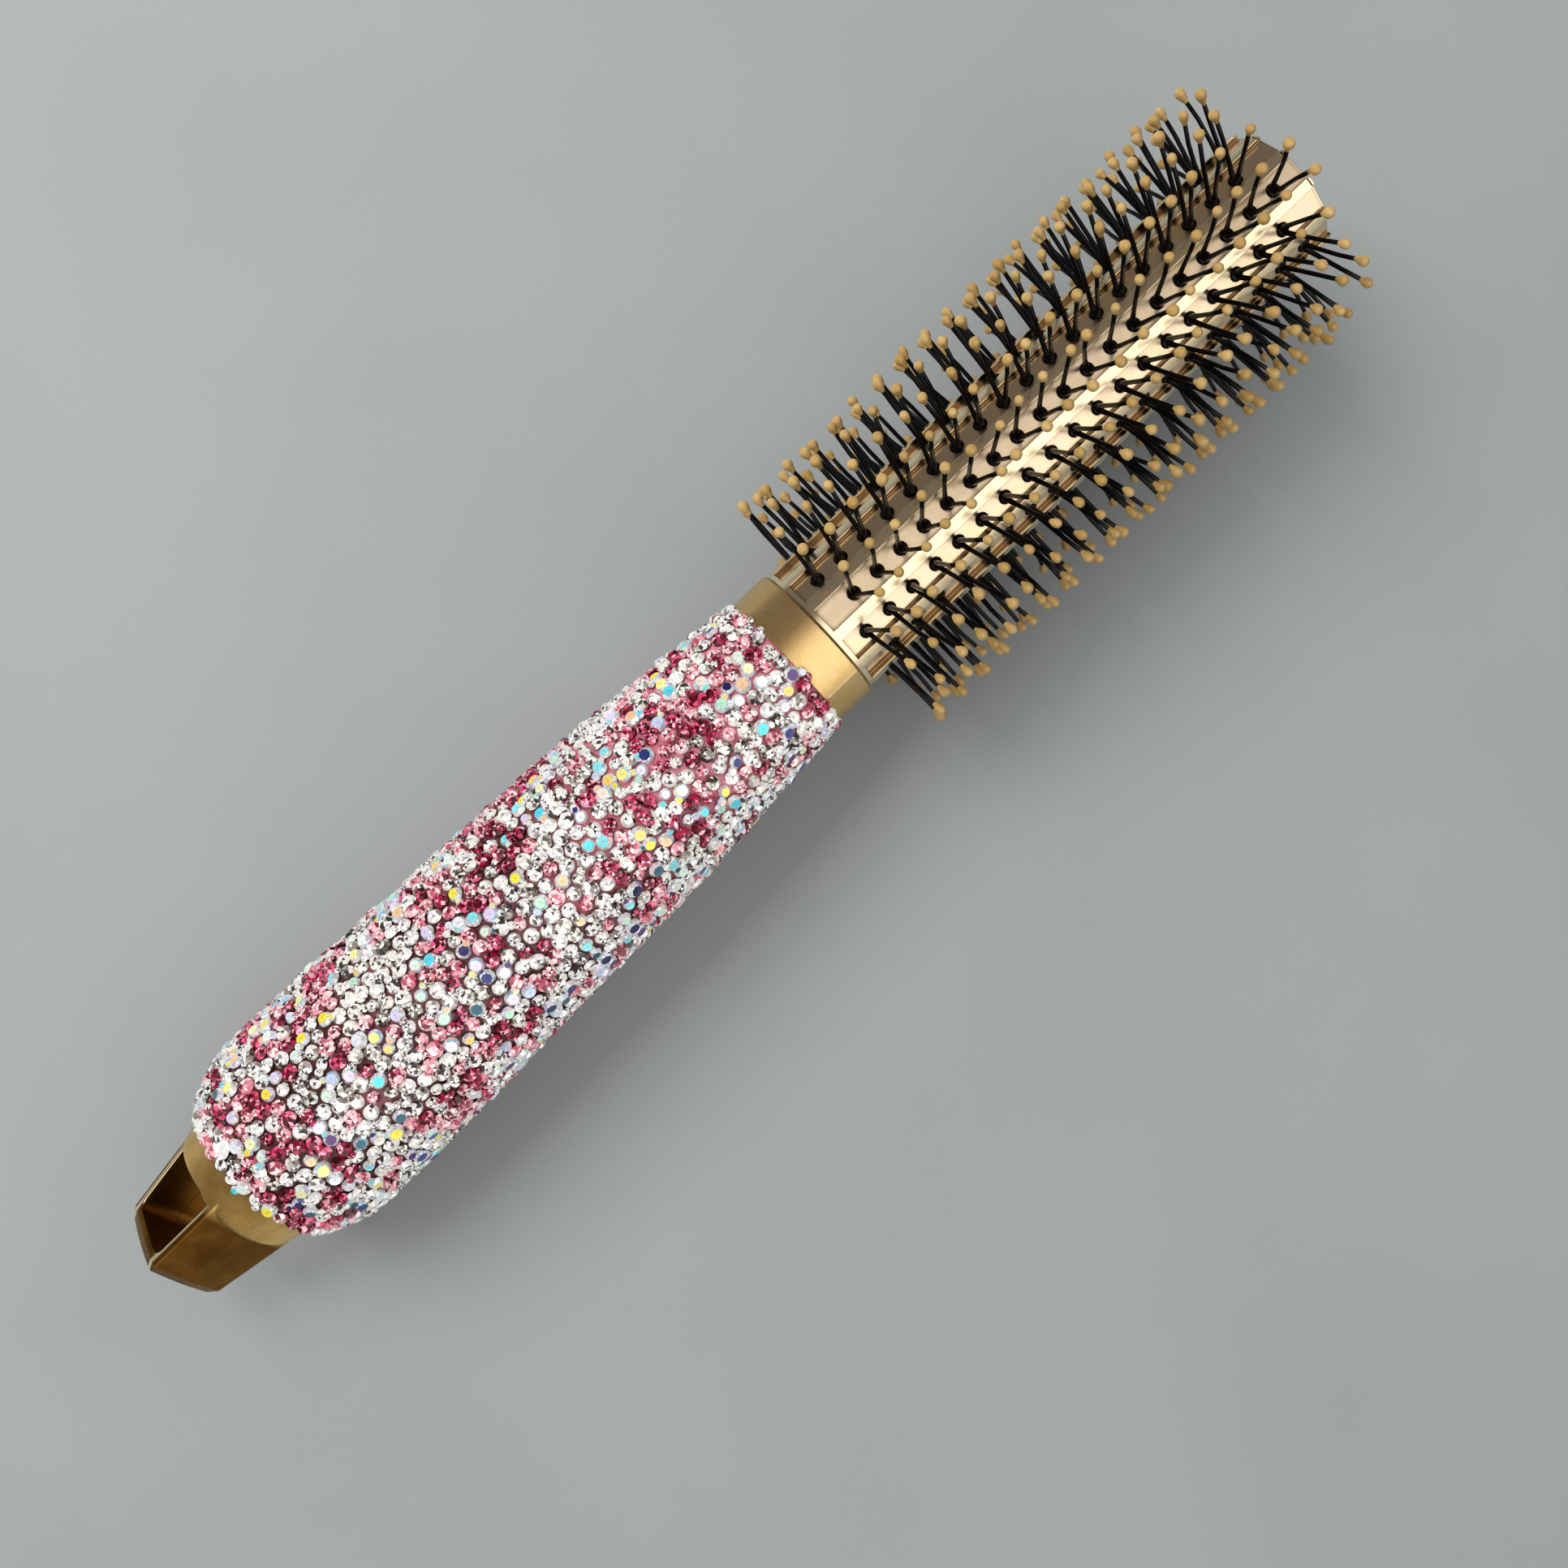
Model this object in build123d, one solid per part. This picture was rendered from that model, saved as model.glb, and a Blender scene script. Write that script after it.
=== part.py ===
from build123d import *
import math
import os
import random

# Round hair brush lying on its side.
# Frame: X runs along the brush axis towards the free end of the barrel, +Z is up, and the
# origin of the saved solids is the centre of the tip face, which the brush can stand on.
# The functions draw from the collar's end face, X = 0, and save() moves the result.
# All lengths are millimetres and all angles are degrees.

# Barrel
BARREL_LENGTH = 98.0
RIB_COUNT = 12
RIB_RADIUS_ROOT = 11.7
RIB_RADIUS_TIP = 11.25
FLOOR_RADIUS_ROOT = 10.6
FLOOR_RADIUS_TIP = 10.2
CHANNEL_WIDTH = 4.2
CHANNEL_START = 0.8
TIP_CHAMFER = 0.3
BARREL_BORE_RADIUS = 5.0
SPIGOT_RADIUS = 9.0
SPIGOT_LENGTH = 20.0
SPIGOT_CLEARANCE = 0.05

# End cap at the free end of the barrel
CAP_THICKNESS = 0.5
CAP_INSET = 0.15
CAP_ROUNDING = 0.2
CAP_PLUG_LENGTH = 6.0
TIP_FACE_X = BARREL_LENGTH + CAP_THICKNESS

# Bristle tufts: one folded filament in each hole, two working ends
TUFTS_PER_ROW = 19
TUFT_PITCH = 4.8
FIRST_TUFT = 4.6
HOLE_RADIUS = 1.1
HOLE_DEPTH = 4.0
FILAMENT_RADIUS = 0.34
LEG_OFFSET = 0.6
LEG_LENGTH = 12.0
LEG_SPLAY = 10.5
BEAD_RADIUS = 1.05
BEAD_HEIGHT = 0.5
BEAD_FOOT = 0.5
BEAD_ROUNDING = 0.3
BALL_RADIUS = 0.78
BALL_LENGTH = 2.3
BALL_FLAT_TURN = 8.0
ANCHOR_WIDTH = 2.1
ANCHOR_THICKNESS = 0.4
ANCHOR_HEIGHT = 1.2

# Handle
COLLAR_RADIUS = 12.1
COLLAR_LENGTH = 6.9
COLLAR_EDGE = 0.4
NECK_RADIUS = 11.5
GRIP_POINTS = ((-26.5, 13.2), (-40.0, 14.2), (-63.0, 15.0))
BELLY_RADIUS = 16.25
BELLY_X = -106.0
SHOULDER_POINTS = ((-113.5, 15.4), (-120.5, 12.4))
DOME_RADIUS = 11.0
DOME_X = -124.8
DOME_EDGE = 0.8
WALL = 2.4
CAVITY_END_RADIUS = 9.0
CAVITY_END_X = -119.0
SEAM_ANGLE = 45.0
SEAM_BEAD_WIDTH = 0.3
SEAM_BEAD_HEIGHT = 0.12

# Hanging loop at the tail
TAIL_END_X = -139.1
TAIL_SIDE_ROOT = 17.3
TAIL_SIDE_END = 13.3
TAIL_TIP_SIDE = 11.7
TAIL_TIP_BEVEL = 1.4
TAIL_OVERLAP = 5.0
TAIL_CROWN = 0.35
TAIL_CORNER_RATIO = 0.035
LOOP_START_GAP = 0.6
LOOP_WALL = 1.35
LOOP_END_WALL = 2.3
LOOP_CORNER = 1.6
LOOP_EDGE_ROUNDING = 0.35

# Decoration
ADHESIVE_THICKNESS = 0.25
STONE_START_X = -7.2
STONE_END_X = -119.0
STONE_PITCH = 2.42
STONE_ROW_PITCH = 2.16
STONE_RADII = (0.92, 1.05, 1.17)
STONE_HEIGHT = 0.9
STONE_TABLE_RATIO = 0.55
STONE_SIZE_WEIGHTS = (1, 2, 4)
STONE_GAP = 0.03
STONE_WOBBLE = 0.03
STONE_SEED = 7
STONE_NODES = ("crystal_stones", "aurora_stones", "light_rose_stones", "deep_rose_stones")
DEEP_ROSE_SHARE = 0.17
DEEP_ROSE_DRIFT = 0.14
LIGHT_ROSE_SHARE = 0.18
AURORA_SHARE = 0.2


def around_x(degrees):
    return Location((0, 0, 0), (degrees, 0, 0))


def taper(root, tip, x):
    return root + (tip - root) * x / BARREL_LENGTH


def revolved(outline):
    return revolve(make_face(outline), Axis.X)


def channel_cutter(reach):
    root = Vector(CHANNEL_START, 0, FLOOR_RADIUS_ROOT)
    slope = math.degrees(math.atan2(FLOOR_RADIUS_ROOT - FLOOR_RADIUS_TIP, BARREL_LENGTH))
    block = Box(reach, CHANNEL_WIDTH, 4, align=(Align.MIN, Align.CENTER, Align.MIN))
    return Location(root, (0, slope, 0)) * block


def tuft_positions(row):
    first = FIRST_TUFT if row % 2 else FIRST_TUFT + TUFT_PITCH / 2
    return [first + TUFT_PITCH * index for index in range(TUFTS_PER_ROW)]


def tuft_places(row):
    angle = row * 360 / RIB_COUNT
    places = []
    for x in tuft_positions(row):
        floor = taper(FLOOR_RADIUS_ROOT, FLOOR_RADIUS_TIP, x)
        places.append(around_x(angle) * Location((x, 0, floor)))
    return places


def make_barrel():
    points = [
        (-SPIGOT_LENGTH, BARREL_BORE_RADIUS),
        (-SPIGOT_LENGTH, SPIGOT_RADIUS),
        (0, SPIGOT_RADIUS),
        (0, RIB_RADIUS_ROOT),
        (BARREL_LENGTH - TIP_CHAMFER, RIB_RADIUS_TIP),
        (BARREL_LENGTH, RIB_RADIUS_TIP - TIP_CHAMFER),
        (BARREL_LENGTH, BARREL_BORE_RADIUS),
    ]
    body = revolved(Polyline(*points, close=True))
    cutter = channel_cutter(BARREL_LENGTH + 2)
    body -= [around_x(row * 360 / RIB_COUNT) * cutter for row in range(RIB_COUNT)]
    hole = Cylinder(HOLE_RADIUS, HOLE_DEPTH + 2, align=(Align.CENTER, Align.CENTER, Align.MIN))
    sunk_hole = Location((0, 0, -HOLE_DEPTH)) * hole
    holes = [place * sunk_hole for row in range(RIB_COUNT) for place in tuft_places(row)]
    return body - holes


def make_end_cap():
    face_radius = RIB_RADIUS_TIP - CAP_INSET
    notch_floor = FLOOR_RADIUS_TIP - CAP_INSET
    disc = Cylinder(face_radius, CAP_THICKNESS, align=(Align.CENTER, Align.CENTER, Align.MIN))
    disc = fillet(disc.edges().group_by(Axis.Z)[-1], CAP_ROUNDING)
    notch = Box(face_radius, CHANNEL_WIDTH + 2 * CAP_INSET, 3 * CAP_THICKNESS,
                align=(Align.MIN, Align.CENTER, Align.CENTER))
    for row in range(RIB_COUNT):
        disc -= Rot(0, 0, row * 360 / RIB_COUNT) * Pos(notch_floor, 0, 0) * notch
    plug = Cylinder(BARREL_BORE_RADIUS - SPIGOT_CLEARANCE, CAP_PLUG_LENGTH,
                    align=(Align.CENTER, Align.CENTER, Align.MAX))
    cap = disc + plug
    return Location((BARREL_LENGTH, 0, 0), (0, 90, 0)) * cap


def leg_end():
    side = LEG_OFFSET + LEG_LENGTH * math.sin(math.radians(LEG_SPLAY))
    height = LEG_LENGTH * math.cos(math.radians(LEG_SPLAY))
    return Vector(0, side, height)


def make_tuft():
    align = (Align.CENTER, Align.CENTER, Align.MIN)
    shank_depth = HOLE_DEPTH - LEG_OFFSET - FILAMENT_RADIUS
    slant = Cylinder(FILAMENT_RADIUS, LEG_LENGTH - BALL_LENGTH / 2, align=align)
    leg = Cylinder(FILAMENT_RADIUS, shank_depth, align=(Align.CENTER, Align.CENTER, Align.MAX))
    leg += Sphere(FILAMENT_RADIUS)
    leg += Rot(-LEG_SPLAY, 0, 0) * slant
    leg = Pos(0, LEG_OFFSET, 0) * leg
    fold_arc = CenterArc((0, 0), LEG_OFFSET, 180, 180)
    fold_path = Plane.YZ * fold_arc
    ring = Plane(fold_path @ 0, z_dir=fold_path % 0) * Circle(FILAMENT_RADIUS)
    fold = Pos(0, 0, -shank_depth) * sweep(ring, path=fold_path)
    bead = Cylinder(BEAD_RADIUS, BEAD_HEIGHT + BEAD_FOOT, align=align)
    bead = Pos(0, 0, -BEAD_FOOT) * fillet(bead.edges().group_by(Axis.Z)[-1], BEAD_ROUNDING)
    return leg + leg.mirror(Plane.XZ) + fold + bead


def make_ball_tip():
    """Drop of resin along +Z on a filament's end: a ball, a cone tangent to it and a tiny flat on top."""
    lower = -BALL_LENGTH / 2
    centre = BALL_LENGTH / 2 - BALL_RADIUS
    drop = centre - lower
    reach = math.hypot(FILAMENT_RADIUS, drop)
    tangent_turn = math.degrees(math.acos(BALL_RADIUS / reach) + math.atan2(FILAMENT_RADIUS, drop))
    round_end = CenterArc((0, centre), BALL_RADIUS, 90 - BALL_FLAT_TURN, tangent_turn + BALL_FLAT_TURN - 180)
    flat = round_end @ 0
    sides = Polyline(round_end @ 1, (FILAMENT_RADIUS, lower), (0, lower), (0, flat.Y), flat)
    return Rot(90, 0, 0) * revolve(make_face(round_end + sides), Axis.Y)


def make_anchor():
    block = Box(ANCHOR_WIDTH, ANCHOR_THICKNESS, ANCHOR_HEIGHT)
    lift = HOLE_DEPTH - LEG_OFFSET - FILAMENT_RADIUS - ANCHOR_HEIGHT / 2
    return Pos(0, 0, -lift) * block


def core_outline():
    """Outer outline of the handle core from the collar to the dome, as one edge list."""
    neck_x = -COLLAR_LENGTH
    collar = Polyline((0, COLLAR_RADIUS - COLLAR_EDGE), (-COLLAR_EDGE, COLLAR_RADIUS),
                      (neck_x, COLLAR_RADIUS), (neck_x, NECK_RADIUS))
    grip = Spline((neck_x, NECK_RADIUS), *GRIP_POINTS, (BELLY_X, BELLY_RADIUS),
                  tangents=((-1, 0.09), (-1, 0)))
    shoulder = Spline((BELLY_X, BELLY_RADIUS), *SHOULDER_POINTS, (DOME_X, DOME_RADIUS),
                      tangents=((-1, 0), (-1, -0.35)))
    return collar, grip, shoulder


def grip_surface():
    """The part of the core's outline that carries the decoration."""
    outline = core_outline()
    return outline[1] + outline[2]


def make_core_solid():
    collar, grip, shoulder = core_outline()
    dome_end = Polyline((DOME_X, DOME_RADIUS), (DOME_X - DOME_EDGE, DOME_RADIUS - DOME_EDGE),
                        (DOME_X - DOME_EDGE, 0), (0, 0), (0, COLLAR_RADIUS - COLLAR_EDGE))
    return revolved(collar + grip + shoulder + dome_end)


def make_core_cavity():
    socket_radius = SPIGOT_RADIUS + SPIGOT_CLEARANCE
    socket_end = -SPIGOT_LENGTH - SPIGOT_CLEARANCE
    grip_points = [*GRIP_POINTS[1:], (BELLY_X, BELLY_RADIUS), SHOULDER_POINTS[0]]
    points = [
        (1, 0),
        (1, socket_radius),
        (socket_end, socket_radius),
        (socket_end - WALL, socket_radius - WALL / 2),
        *[(x, radius - WALL) for x, radius in grip_points],
        (CAVITY_END_X, CAVITY_END_RADIUS),
        (CAVITY_END_X, 0),
    ]
    return revolved(Polyline(*points, close=True))


def crowned_square(side, crown):
    half = side / 2
    corners = [(half, -half), (half, half), (-half, half), (-half, -half)]
    edges = []
    for index, start in enumerate(corners):
        end = corners[(index + 1) % len(corners)]
        middle = ((start[0] + end[0]) / 2, (start[1] + end[1]) / 2)
        bulge = (half + crown) / half
        edges.append(ThreePointArc(start, (middle[0] * bulge, middle[1] * bulge), end))
    face = make_face(edges)
    return fillet(face.vertices(), side * TAIL_CORNER_RATIO)


def tail_section(x, side, crown):
    plane = Plane(origin=(x, 0, 0), x_dir=(0, 1, 0), z_dir=(-1, 0, 0))
    return plane * crowned_square(side, crown)


def loop_half_width(x):
    """Half of the hanging slot's width, which follows the taper of the tail."""
    root_x = DOME_X + TAIL_OVERLAP
    bevel_x = TAIL_END_X + TAIL_TIP_BEVEL
    side = TAIL_SIDE_ROOT + (TAIL_SIDE_END - TAIL_SIDE_ROOT) * (x - root_x) / (bevel_x - root_x)
    return side / 2 - LOOP_WALL


def make_tail():
    """Tapering square block with a bevelled end, sides square to the seam plane before it is turned."""
    end_section = tail_section(TAIL_END_X + TAIL_TIP_BEVEL, TAIL_SIDE_END, TAIL_CROWN)
    block = loft([tail_section(DOME_X + TAIL_OVERLAP, TAIL_SIDE_ROOT, TAIL_CROWN), end_section], ruled=True)
    return block + loft([end_section, tail_section(TAIL_END_X, TAIL_TIP_SIDE, TAIL_CROWN)], ruled=True)


def make_loop_slot():
    near_x = DOME_X + LOOP_START_GAP
    far_x = TAIL_END_X + LOOP_END_WALL
    near_half = loop_half_width(near_x)
    far_half = loop_half_width(far_x)
    outline = Polyline((near_x, -near_half), (near_x, near_half), (far_x, far_half), (far_x, -far_half),
                       close=True)
    face = make_face(outline)
    face = fillet(face.vertices(), LOOP_CORNER)
    return Pos(0, 0, -TAIL_SIDE_ROOT) * extrude(face, 2 * TAIL_SIDE_ROOT)


def loop_mouth_edges(body):
    """Edges where the hanging slot opens through the sides of the tail."""
    edges = []
    for edge in body.edges():
        centre = edge.center()
        along = TAIL_END_X + TAIL_TIP_BEVEL < centre.X < DOME_X - LOOP_START_GAP
        inside = abs(centre.Y) < loop_half_width(centre.X) + LOOP_EDGE_ROUNDING / 2
        if along and inside and abs(centre.Z) > TAIL_TIP_SIDE / 2:
            edges.append(edge)
    return edges


def make_handle_halves():
    turn = around_x(-SEAM_ANGLE)
    whole = make_core_solid() + make_tail() - make_core_cavity() - make_loop_slot()
    whole = fillet(loop_mouth_edges(whole), LOOP_EDGE_ROUNDING)
    bead_length = COLLAR_LENGTH - 2 * COLLAR_EDGE
    bead = Box(bead_length, 2 * (COLLAR_RADIUS + SEAM_BEAD_HEIGHT), SEAM_BEAD_WIDTH)
    whole += Pos(-COLLAR_LENGTH / 2, 0, 0) * bead - make_core_cavity()
    front = split(whole, Plane.XY, keep=Keep.TOP)
    back = split(whole, Plane.XY, keep=Keep.BOTTOM)
    return turn * front, turn * back


def decorated_stretch():
    """Points and outward normals along the grip's outline, evenly spaced by the stone row pitch."""
    curve = Wire(grip_surface().edges())
    if (curve @ 0).X < (curve @ 1).X:
        curve = Wire(list(reversed(grip_surface().edges())))
    count = int(curve.length / STONE_ROW_PITCH)
    stretch = []
    for index in range(count):
        share = (index + 0.5) / count
        point = curve @ share
        tangent = curve % share
        if STONE_END_X < point.X < STONE_START_X:
            normal = Vector(-tangent.Y, tangent.X)
            if normal.Y < 0:
                normal = -normal
            stretch.append((point, normal))
    return stretch


def make_adhesive_layer():
    """Thin coloured layer over the grip that the stones sit on."""
    core = make_core_solid()
    samples = decorated_stretch()
    outer_points = [point + normal * ADHESIVE_THICKNESS for point, normal in samples]
    first = Vector(-COLLAR_LENGTH, NECK_RADIUS + ADHESIVE_THICKNESS)
    end_x = samples[-1][0].X
    inner_radius = NECK_RADIUS / 2
    ring = Polyline((end_x, inner_radius), (-COLLAR_LENGTH, inner_radius), first)
    skin = Spline(first, *outer_points)
    closing = Line(outer_points[-1], (end_x, inner_radius))
    return revolved(ring + skin + closing) - core


def stone_shade(place, angle, chance):
    """Shade of one stone: drifting patches along the handle, mixed with single stones."""
    turn = math.radians(angle)
    wave = math.sin(0.16 * place + 2 * turn) + math.sin(0.45 * place - 3 * turn)
    deep_rose = max(0.0, DEEP_ROSE_SHARE + DEEP_ROSE_DRIFT * wave)
    if chance < deep_rose:
        return "deep_rose_stones"
    if chance < deep_rose + LIGHT_ROSE_SHARE:
        return "light_rose_stones"
    if chance < deep_rose + LIGHT_ROSE_SHARE + AURORA_SHARE:
        return "aurora_stones"
    return "crystal_stones"


def make_stones():
    dice = random.Random(STONE_SEED)
    moulds = [Solid.make_cone(radius, radius * STONE_TABLE_RATIO, STONE_HEIGHT * radius / STONE_RADII[1])
              for radius in STONE_RADII]
    groups = {name: [] for name in STONE_NODES}
    for row, (point, normal) in enumerate(decorated_stretch()):
        seat = point + normal * (ADHESIVE_THICKNESS + STONE_GAP)
        count = int(2 * math.pi * seat.Y / STONE_PITCH)
        for index in range(count):
            shift = 0.5 * (row % 2) + dice.uniform(-STONE_WOBBLE, STONE_WOBBLE)
            angle = (index + shift) * 360 / count
            size = dice.choices((0, 1, 2), weights=STONE_SIZE_WEIGHTS)[0]
            shade = stone_shade(point.X, angle, dice.random())
            frame = Plane(origin=(seat.X, 0, seat.Y), z_dir=(normal.X, 0, normal.Y))
            groups[shade].append(moulds[size].moved(around_x(angle) * frame.location))
    return groups


def save(name, shape):
    """Write one node, moved so that the origin is the centre of the tip face."""
    export_step(Pos(-TIP_FACE_X, 0, 0) * shape, f"parts/{name}.step")


def main():
    os.makedirs("parts", exist_ok=True)
    save("barrel", make_barrel())
    save("barrel_end_cap", make_end_cap())
    front, back = make_handle_halves()
    save("handle_front_half", front)
    save("handle_back_half", back)
    save("adhesive_layer", make_adhesive_layer())
    for name, stones in make_stones().items():
        save(name, Compound(stones))
    tuft = make_tuft()
    end = leg_end()
    ball = Pos(*end) * Rot(-LEG_SPLAY, 0, 0) * make_ball_tip()
    anchor = make_anchor()
    anchors = []
    for row in range(RIB_COUNT):
        places = tuft_places(row)
        save(f"bristle_row_{row + 1:02d}", Compound([place * tuft for place in places]))
        balls = [place * one for place in places for one in (ball, ball.mirror(Plane.XZ))]
        save(f"ball_tips_row_{row + 1:02d}", Compound(balls))
        anchors += [place * anchor for place in places]
    save("tuft_anchors", Compound(anchors))


main()
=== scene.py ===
import math
import random

import bpy
import numpy as np
from mathutils import Matrix, Vector


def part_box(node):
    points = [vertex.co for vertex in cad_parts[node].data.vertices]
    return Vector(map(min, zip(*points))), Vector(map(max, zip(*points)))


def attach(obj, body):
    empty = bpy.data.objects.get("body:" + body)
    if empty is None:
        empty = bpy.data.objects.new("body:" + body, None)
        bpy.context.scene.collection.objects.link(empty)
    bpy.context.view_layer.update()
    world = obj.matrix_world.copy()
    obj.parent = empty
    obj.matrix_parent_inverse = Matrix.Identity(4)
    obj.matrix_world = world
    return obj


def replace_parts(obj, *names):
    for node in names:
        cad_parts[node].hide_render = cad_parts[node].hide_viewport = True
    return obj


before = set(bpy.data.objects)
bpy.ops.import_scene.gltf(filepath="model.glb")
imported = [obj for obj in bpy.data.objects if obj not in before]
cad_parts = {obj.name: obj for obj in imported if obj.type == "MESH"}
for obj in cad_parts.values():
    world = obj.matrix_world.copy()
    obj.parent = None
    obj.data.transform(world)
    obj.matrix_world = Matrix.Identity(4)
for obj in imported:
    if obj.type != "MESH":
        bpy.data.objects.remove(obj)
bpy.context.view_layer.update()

# Everything below is in metres, in the CAD frame: X along the brush axis towards the free end of
# the barrel, +Z up, origin at the centre of the tip face.

MM = 0.001
SEED = 20

ALONG = Vector((1, 0, 0))

# Bristle rows
ROW_COUNT = 12
ROOT_DEPTH = 4.0 * MM
FILAMENT_RADIUS = 0.36 * MM
LEG_SPREAD = 2.75 * MM
LEG_WIDTHS = (0.95, 0.97, 1.0, 1.2, 1.75)
FOLD_WIDTH = 1.9
BALL_RADIUS = 0.84 * MM
BALL_LENGTH = 2.35 * MM

# Barrel: distance from the axis of the channel floors' edges and of the ribs at the tip
BARREL_TAPER = 0.0041
FLOOR_LEVEL = 10.42 * MM
RIB_LEVEL = 11.1 * MM

# Handle: the slot runs across the tail, and its half width grows towards the dome
TAIL_LENGTH = 14.5 * MM
SLOT_DIRECTION = Vector((0, 1, 1)).normalized()
SLOT_FLARE = 0.111
SLOT_RIM = 31.45 * MM

# Stones
STONE_KINDS = ("crystal", "aurora", "light_rose", "deep_rose")
SMALL_STONE_SHARE = 0.75
SMALL_STONE_REACH = 1.38 * MM
SMALL_STONE_RISE = 0.28 * MM
STONE_TILT = 0.10
STONE_SLIDE = 0.09

# Camera: straight above the brush, close enough for plain perspective
CAMERA_PLACE = Vector((-118.6, -13.25, 243.5)) * MM
CAMERA_LENS_MM = 36.06
CAMERA_SENSOR_MM = 36.0
BRUSH_SLANT = math.radians(43.83)

# Floor and light
FLOOR_HALF = 2.0
WINDOW_PLACE = Vector((-0.20, 0.45, 0.62))
WINDOW_SIZE = 0.45
BRUSH_MIDDLE = Vector((-118.6, 0, 0)) * MM
WINDOW_POWER = 3.2
SKY_STRENGTH = 0.55
PANEL_STRENGTH = 1.3
PANEL_DIRECTION = Vector((0.08, -0.62, 0.78))


# ---------------------------------------------------------------- mesh helpers

def make_piece(name, vertices, faces, material, smooth=True):
    mesh = bpy.data.meshes.new(name)
    mesh.from_pydata([tuple(v) for v in vertices], [], faces)
    mesh.validate()
    mesh.materials.append(material)
    mesh.shade_smooth() if smooth else mesh.shade_flat()
    piece = bpy.data.objects.new(name, mesh)
    bpy.context.scene.collection.objects.link(piece)
    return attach(piece, "root")


def face_colours(piece, name, colours):
    attribute = piece.data.attributes.new(name, "FLOAT_COLOR", "FACE")
    attribute.data.foreach_set("color", np.asarray(colours, np.float32).ravel())


def islands(node):
    """The separate solids of a CAD node, each as an array of its vertex positions."""
    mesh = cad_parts[node].data
    places = np.zeros(len(mesh.vertices) * 3, np.float32)
    mesh.vertices.foreach_get("co", places)
    places = places.reshape(-1, 3).astype(float)
    keys = np.round(places / (0.002 * MM)).astype(np.int64)
    unique, welded = np.unique(keys, axis=0, return_inverse=True)
    welded = welded.ravel()
    parent = list(range(len(unique)))

    def root(i):
        while parent[i] != i:
            parent[i] = parent[parent[i]]
            i = parent[i]
        return i

    edges = np.zeros(len(mesh.edges) * 2, np.int32)
    mesh.edges.foreach_get("vertices", edges)
    for a, b in welded[edges.reshape(-1, 2)]:
        ra, rb = root(a), root(b)
        if ra != rb:
            parent[rb] = ra
    groups = {}
    for index in range(len(unique)):
        groups.setdefault(root(index), []).append(index)
    spots = unique * (0.002 * MM)
    return [spots[members] for members in groups.values()]


def frame_about(normal):
    """Rotation whose Z is the normal, as a 3 by 3 numpy array of columns."""
    z = normal / np.linalg.norm(normal)
    x = np.cross((0.0, 1.0, 0.0) if abs(z[1]) < 0.9 else (0.0, 0.0, 1.0), z)
    x /= np.linalg.norm(x)
    return np.column_stack((x, np.cross(z, x), z))


def tube(points, radii, sides):
    """Closed round tube through the points; returns vertices and faces."""
    points = [Vector(p) for p in points]
    vertices, faces = [], []
    side = None
    for index, (point, radius) in enumerate(zip(points, radii)):
        ahead = points[min(index + 1, len(points) - 1)] - points[max(index - 1, 0)]
        ahead.normalize()
        if side is None:
            side = ahead.orthogonal().normalized()
        side = (side - ahead * side.dot(ahead)).normalized()
        across = ahead.cross(side)
        for step in range(sides):
            turn = 2 * math.pi * step / sides
            vertices.append(point + radius * (math.cos(turn) * side + math.sin(turn) * across))
    for ring in range(len(points) - 1):
        for step in range(sides):
            a = ring * sides + step
            b = ring * sides + (step + 1) % sides
            faces.append((a, b, b + sides, a + sides))
    faces.append(tuple(reversed(range(sides))))
    faces.append(tuple(range(len(vertices) - sides, len(vertices))))
    return vertices, faces


def lathe(profile, sides):
    """Closed turned shape from (radius, height) pairs that start and end on the axis."""
    vertices = [Vector((0, 0, profile[0][1]))]
    faces = []
    rings = profile[1:-1]
    for radius, height in rings:
        for step in range(sides):
            turn = 2 * math.pi * step / sides
            vertices.append(Vector((radius * math.cos(turn), radius * math.sin(turn), height)))
    vertices.append(Vector((0, 0, profile[-1][1])))
    last = len(vertices) - 1
    for step in range(sides):
        nxt = (step + 1) % sides
        faces.append((0, 1 + nxt, 1 + step))
        for ring in range(len(rings) - 1):
            low = 1 + ring * sides
            faces.append((low + step, low + nxt, low + sides + nxt, low + sides + step))
        top = 1 + (len(rings) - 1) * sides
        faces.append((top + step, top + nxt, last))
    return vertices, faces


class Gathered:
    """Vertices and faces of many small shapes, gathered into one piece."""

    def __init__(self):
        self.vertices = []
        self.faces = []
        self.colours = []

    def add(self, vertices, faces, colour=None):
        start = len(self.vertices)
        self.vertices.extend(vertices)
        self.faces.extend(tuple(start + i for i in face) for face in faces)
        if colour is not None:
            self.colours.extend([colour] * len(faces))


# ---------------------------------------------------------------- material helpers

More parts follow.
